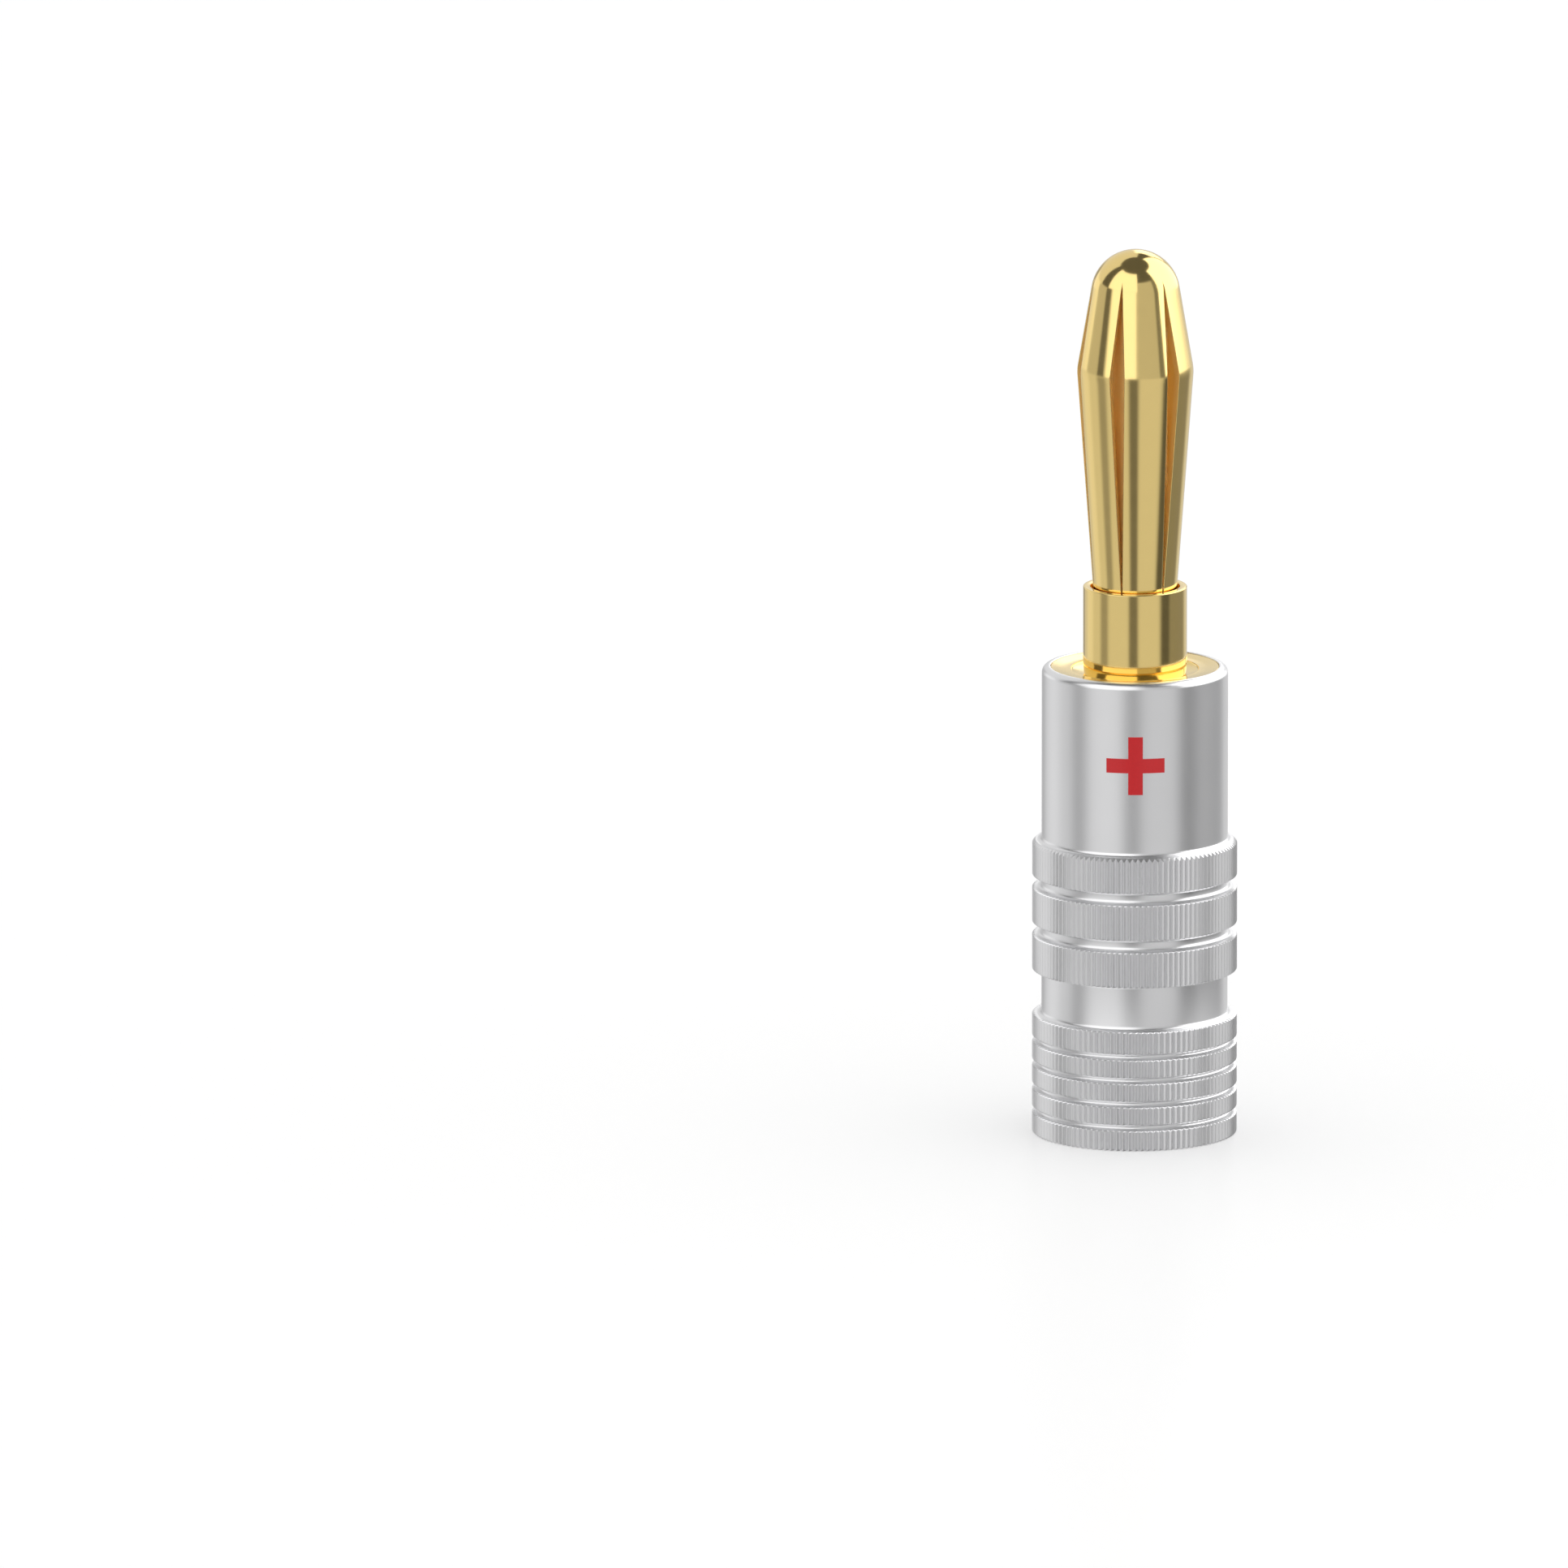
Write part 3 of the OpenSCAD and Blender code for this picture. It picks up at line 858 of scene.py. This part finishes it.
class PLUG_OT_core_pin(Operator):
    """Gold-plated pin that shows through the slits of the lantern"""

    bl_idname = "plug.core_pin"
    bl_label = "Core pin"

    def execute(self, context):
        plug = context.scene.plug
        core, lantern = plug.core, plug.lantern
        low, high = lowest("core_pin"), highest("core_pin")
        cup_z = lowest("lantern_spring")
        foot_r = lantern.base_r - lantern.sheet_t
        outline = [
            (0, low),
            (core.tail_r, low),
            (core.tail_r, cup_z),
            (foot_r, cup_z),
            (foot_r, cup_z + core.pin_foot),
            (core.pin_r, cup_z + core.pin_foot),
            (core.pin_r, high - core.pin_edge),
            (core.pin_r - core.pin_edge, high),
            (0, high),
        ]
        shape, gold = turned(eased(outline, core.pin_broken), PIN_ROUND, False), raw_gold(plug.finishes)
        add_piece("core_pin_skin", shape, gold, "pin_unit", "core_pin")
        return {"FINISHED"}


# rows of a leaf: along its rear, around its bend, along its front, over the crown and up to the tip
REAR_ROWS = 24
BEND_ROWS = 12
FRONT_ROWS = 12
CROWN_ROWS = 8
TIP_ROWS = 14
# columns across a leaf between its rounded edges
LEAF_COLUMNS = 26
# the rounded edge along a slit: its depth as a share of its width, then how far in each column stands
# and how deep it lies, as shares of that width and depth
EDGE_DEPTH = 0.4
EDGE_COLUMNS = ((0, 1), (0.4, 0.25), (1, 0))
# points nearer than this become one
WELD = 0.00005 * MM


class PLUG_OT_lantern_spring(Operator):
    """Slit lantern spring with a closed round nose, one piece of thin sheet"""

    bl_idname = "plug.lantern_spring"
    bl_label = "Lantern spring"

    def section(self, lantern, inset):
        """Half section of the sheet's outer skin, or of its inner skin, from the base to the tip."""
        cup_z, collar_z = lowest("lantern_spring"), highest("pin_collar")
        flat_r = lantern.nose_flat / 2
        nose_z = highest("lantern_spring") - math.sqrt(lantern.nose_r**2 - flat_r**2)
        belly_z = collar_z + lantern.belly_share * (nose_z + lantern.nose_r - collar_z)
        rise = nose_z - belly_z
        rear_lean = math.atan((lantern.belly_r - lantern.base_r) / (belly_z - collar_z))
        to_nose = math.hypot(lantern.belly_r, rise)
        front_lean = math.atan(lantern.belly_r / rise) - math.asin(lantern.nose_r / to_nose)
        half_bend = (rear_lean + front_lean) / 2
        bend_r = lantern.belly_bend / 2 / math.tan(half_bend)
        out = bend_r / math.cos(half_bend)
        tilt = (rear_lean - front_lean) / 2
        nose_r = lantern.nose_r - inset
        tip = math.degrees(math.asin(lantern.slit_point / nose_r))
        bend = arc(
            lantern.belly_r - out * math.cos(tilt),
            belly_z + out * math.sin(tilt),
            bend_r - inset,
            -math.degrees(rear_lean),
            math.degrees(front_lean),
            BEND_ROWS,
        )
        crown = arc(0, nose_z, nose_r, math.degrees(front_lean), tip, CROWN_ROWS)
        top = arc(0, nose_z, nose_r, tip, math.degrees(math.acos(flat_r / nose_r)), TIP_ROWS)
        foot_z = collar_z - lantern.slit_hidden
        base_r = lantern.base_r - inset
        rows = [(base_r, cup_z), (base_r, foot_z), (base_r, collar_z)]
        rows += self.between(rows[-1], bend[0], REAR_ROWS) + bend
        rows += self.between(bend[-1], crown[0], FRONT_ROWS) + crown + top[1:]
        slit = (foot_z, belly_z, nose_z + lantern.slit_point)
        return rows, slit

    def between(self, start, end, parts):
        """Points between two points of the section, without the two."""
        return [tuple(s + (e - s) * k / parts for s, e in zip(start, end)) for k in range(1, parts)]

    def execute(self, context):
        plug = context.scene.plug
        lantern = plug.lantern
        outer, slit = self.section(lantern, 0)
        inner = self.section(lantern, lantern.sheet_t)[0]
        foot_z, belly_z, point_z = slit

        def half_width(z):
            """Half the width of a slit at a height."""
            rear = (z - foot_z) / (belly_z - foot_z)
            front = (point_z - z) / (point_z - belly_z)
            return lantern.slit_w / 2 * max(0, min(rear, front))

        def leaf_row(r, z, start, lip):
            """Points across one leaf at a height, with edges that are rounded to a depth."""
            gap = half_width(z)
            soft = min(1, gap / lantern.slit_edge)
            edge = [math.asin((gap + reach * lantern.slit_edge) / r) for reach, drop in EDGE_COLUMNS]
            drops = [drop * lip * soft for reach, drop in EDGE_COLUMNS]
            pitch = FULL_TURN / lantern.slits
            span = pitch - 2 * edge[-1]
            columns = [(a, r - d) for a, d in zip(edge, drops)]
            columns += [(edge[-1] + span * k / LEAF_COLUMNS, r) for k in range(1, LEAF_COLUMNS)]
            columns += [(pitch - a, r - d) for a, d in zip(reversed(edge), reversed(drops))]
            return [(c * math.cos(start + a), c * math.sin(start + a), z) for a, c in columns]

        mesh = bmesh.new()
        for k in range(lantern.slits):
            start = lantern.slit_phase + FULL_TURN * k / lantern.slits
            skins = []
            for rows, lip in ((outer, EDGE_DEPTH * lantern.slit_edge), (inner, 0.0)):
                skins.append([[mesh.verts.new(p) for p in leaf_row(r, z, start, lip)] for r, z in rows])
            out_grid, in_grid = skins
            last = len(out_grid[0]) - 1
            for a in range(len(outer) - 1):
                out_row, out_next, in_row, in_next = out_grid[a], out_grid[a + 1], in_grid[a], in_grid[a + 1]
                for i in range(last):
                    mesh.faces.new((out_row[i], out_row[i + 1], out_next[i + 1], out_next[i]))
                    face = mesh.faces.new((in_row[i + 1], in_row[i], in_next[i], in_next[i + 1]))
                    face.material_index = 1
                if half_width(outer[a][1]) > 0 or half_width(outer[a + 1][1]) > 0:
                    wall = mesh.faces.new((out_next[0], in_next[0], in_row[0], out_row[0]))
                    wall.material_index = 1
                    wall = mesh.faces.new((out_row[last], in_row[last], in_next[last], out_next[last]))
                    wall.material_index = 1
            for i in range(last):
                mesh.faces.new((out_grid[0][i + 1], out_grid[0][i], in_grid[0][i], in_grid[0][i + 1]))
            for grid, flip in ((out_grid, False), (in_grid, True)):
                pole = mesh.verts.new((0, 0, grid[-1][0].co.z))
                for i in range(last):
                    corners = (grid[-1][i], grid[-1][i + 1], pole)
                    mesh.faces.new(tuple(reversed(corners)) if flip else corners)
        bmesh.ops.remove_doubles(mesh, verts=mesh.verts, dist=WELD)
        mesh.verts.index_update()
        points = [tuple(v.co) for v in mesh.verts]
        shape = (points, [tuple(v.index for v in f.verts) for f in mesh.faces])
        finish = [f.material_index for f in mesh.faces]
        mesh.free()
        gold = polished_gold(plug.finishes)
        piece = add_piece(
            "lantern_spring_skin", shape, gold, "pin_unit", "lantern_spring"
        )
        # the slits' walls and the inside of the sheet aren't polished
        piece.data.materials.append(raw_gold(plug.finishes))
        piece.data.polygons.foreach_set("material_index", finish)
        return {"FINISHED"}


# columns across the mark's bar and across each of its arms, which follow the barrel's curve
MARK_COLUMNS = 12


class PLUG_OT_polarity_mark(Operator):
    """Plain plus sign, printed on the front of the barrel"""

    bl_idname = "plug.polarity_mark"
    bl_label = "Polarity mark"

    def execute(self, context):
        plug = context.scene.plug
        mark = plug.mark
        metal_r = plug.grip.barrel_d / 2
        reach, bar = mark.span / 2, mark.bar_w / 2
        edges = (-reach, -bar, bar, reach)
        across = []
        for left, right in zip(edges, edges[1:]):
            across += [left + (right - left) * k / MARK_COLUMNS for k in range(MARK_COLUMNS)]
        across.append(reach)
        cells = set()
        for i in range(len(across) - 1):
            in_bar = i // MARK_COLUMNS == 1
            cells |= {(i, j) for j in range(3) if in_bar or j == 1}
        # the film's face, and its back a little way into the metal
        skins = (metal_r + mark.ink_t, metal_r - mark.ink_t / 2)
        points, faces, known = [], [], {}

        def corner(place, skin):
            """Number of the point at a column and a height of one skin, made where it is new."""
            if (place, skin) not in known:
                known[place, skin] = len(points)
                turn, r = across[place[0]] / metal_r - math.pi / 2, skins[skin]
                points.append((r * math.cos(turn), r * math.sin(turn), mark.height + edges[place[1]]))
            return known[place, skin]

        for i, j in sorted(cells):
            ring = ((i, j), (i + 1, j), (i + 1, j + 1), (i, j + 1))
            faces.append(tuple(corner(place, 0) for place in ring))
            faces.append(tuple(corner(place, 1) for place in reversed(ring)))
            for side, beside in enumerate(((i, j - 1), (i + 1, j), (i, j + 1), (i - 1, j))):
                if beside not in cells:
                    a, b = ring[side], ring[(side + 1) % 4]
                    faces.append((corner(b, 0), corner(a, 0), corner(a, 1), corner(b, 1)))
        shape = (points, faces)
        add_piece("polarity_mark", shape, red_print(plug.finishes), "shell")
        return {"FINISHED"}


# the floor reaches this far, and lies a hair below the plug's rear face
FLOOR_REACH = 1.5
FLOOR_GAP = 0.02 * MM
# the width that the picture covers at the plug, the camera's distance and how far it looks down
FRAME_W = 66.62 * MM
DISTANCE = 2.0
TILT = math.radians(11.8)
SENSOR_MM = 36
# the middle of the picture, to the left of the plug's axis and above its rear face
MIDDLE_LEFT = 14.88 * MM
MIDDLE_UP = 14.69 * MM
# gold mirrors gold many times in the hollow around the collar and in the slits
MIRROR_BOUNCES = 8


class PLUG_OT_stage(Operator):
    """White floor, studio light and the camera"""

    bl_idname = "plug.stage"
    bl_label = "Stage"

    def execute(self, context):
        scene = context.scene
        mesh = bpy.data.meshes.new("floor")
        sides = ((-1, -1), (1, -1), (1, 1), (-1, 1))
        corners = [(x * FLOOR_REACH, y * FLOOR_REACH, -FLOOR_GAP) for x, y in sides]
        mesh.from_pydata(corners, [], [(0, 1, 2, 3)])
        mesh.materials.append(white_floor(scene.plug.finishes))
        floor = bpy.data.objects.new("floor", mesh)
        scene.collection.objects.link(floor)
        # metal mirrors the table that is among the studio's panels instead
        floor.visible_glossy = False
        scene.world = studio_world()

        ahead = Vector((0, math.cos(TILT), -math.sin(TILT)))
        up = Vector((0, math.sin(TILT), math.cos(TILT)))
        lens = bpy.data.cameras.new("camera")
        lens.sensor_width = SENSOR_MM
        lens.lens = SENSOR_MM * DISTANCE / FRAME_W
        camera = bpy.data.objects.new("camera", lens)
        camera.location = Vector((-MIDDLE_LEFT, 0, 0)) + up * MIDDLE_UP - ahead * DISTANCE
        camera.rotation_euler = ahead.to_track_quat("-Z", "Y").to_euler()
        scene.collection.objects.link(camera)
        scene.camera = camera
        scene.view_settings.view_transform = "Standard"
        scene.cycles.glossy_bounces = MIRROR_BOUNCES
        return {"FINISHED"}


class PLUG_PT_pieces(Panel):
    """Lists the pieces of the plug and their sizes"""

    bl_label = "Banana plug"
    bl_idname = "PLUG_PT_pieces"
    bl_space_type = "VIEW_3D"
    bl_region_type = "UI"
    bl_category = "Banana plug"

    def draw(self, context):
        for operator in OPERATORS:
            self.layout.operator(operator.bl_idname)
        plug = context.scene.plug
        for name in PlugSettings.__annotations__:
            group = getattr(plug, name)
            box = self.layout.box()
            for key in group.__annotations__:
                box.prop(group, key)


OPERATORS = (
    PLUG_OT_stage,
    PLUG_OT_front_shell,
    PLUG_OT_rear_cap,
    PLUG_OT_wire_sleeve,
    PLUG_OT_contact_core,
    PLUG_OT_pin_collar,
    PLUG_OT_core_pin,
    PLUG_OT_lantern_spring,
    PLUG_OT_polarity_mark,
)
GROUPS = (
    GripSizes,
    ShellSizes,
    CapSizes,
    SleeveSizes,
    CoreSizes,
    LanternSizes,
    MarkSizes,
    Finishes,
    PlugSettings,
)


def register():
    for cls in (*GROUPS, *OPERATORS, PLUG_PT_pieces):
        bpy.utils.register_class(cls)
    bpy.types.Scene.plug = PointerProperty(type=PlugSettings)


def unregister():
    del bpy.types.Scene.plug
    for cls in reversed((*GROUPS, *OPERATORS, PLUG_PT_pieces)):
        bpy.utils.unregister_class(cls)


def main():
    register()
    bpy.ops.plug.stage()
    bpy.ops.plug.front_shell()
    bpy.ops.plug.rear_cap()
    bpy.ops.plug.wire_sleeve()
    bpy.ops.plug.contact_core()
    bpy.ops.plug.pin_collar()
    bpy.ops.plug.core_pin()
    bpy.ops.plug.lantern_spring()
    bpy.ops.plug.polarity_mark()


if __name__ == "__main__":
    main()
